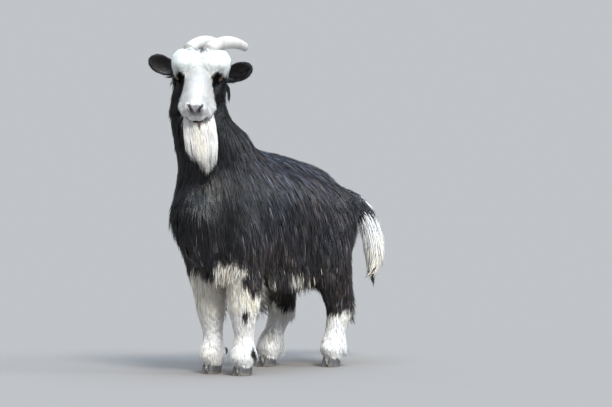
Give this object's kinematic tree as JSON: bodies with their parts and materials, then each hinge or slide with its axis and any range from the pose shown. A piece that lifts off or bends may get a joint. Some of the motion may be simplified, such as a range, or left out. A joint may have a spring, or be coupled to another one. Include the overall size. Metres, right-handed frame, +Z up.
{
  "type": "long-haired goat",
  "caption": "Still, life-size model of a long-haired black goat with white face, beard, lower legs and tail brush, standing with its head turned a little to its left.",
  "frame": {"origin": "on the floor under the middle of the whole goat's box", "axes": "-Y the way the body faces, +X to the goat's left, +Z up"},
  "size_m": [0.3192, 0.9962, 1.0341],
  "materials": {
    "coat": "long straight hair, black with white markings",
    "horn": "pale ringed horn, satin",
    "hoof": "dark horn, worn satin",
    "eye": "wet gloss, amber with a level slit pupil"
  },
  "bodies": {
    "root": {"beard": "coat", "claw_fore_left_inner": "hoof", "claw_fore_left_outer": "hoof", "claw_fore_right_inner": "hoof", "claw_fore_right_outer": "hoof", "claw_hind_left_inner": "hoof", "claw_hind_left_outer": "hoof", "claw_hind_right_inner": "hoof", "claw_hind_right_outer": "hoof", "dewclaw_fore_left_inner": "hoof", "dewclaw_fore_left_outer": "hoof", "dewclaw_fore_right_inner": "hoof", "dewclaw_fore_right_outer": "hoof", "dewclaw_hind_left_inner": "hoof", "dewclaw_hind_left_outer": "hoof", "dewclaw_hind_right_inner": "hoof", "dewclaw_hind_right_outer": "hoof", "ear_left": "coat", "ear_right": "coat", "eye_left": "eye", "eye_right": "eye", "fore_cannon_left": "coat", "fore_cannon_right": "coat", "fore_foot_left": "coat", "fore_foot_right": "coat", "forearm_left": "coat", "forearm_right": "coat", "gaskin_left": "coat", "gaskin_right": "coat", "head": "coat", "hind_cannon_left": "coat", "hind_cannon_right": "coat", "hind_foot_left": "coat", "hind_foot_right": "coat", "horn_left": "horn", "horn_right": "horn", "neck": "coat", "shoulder_left": "coat", "shoulder_right": "coat", "tail": "coat", "thigh_left": "coat", "thigh_right": "coat", "trunk": "coat"}
  },
  "joints": []
}
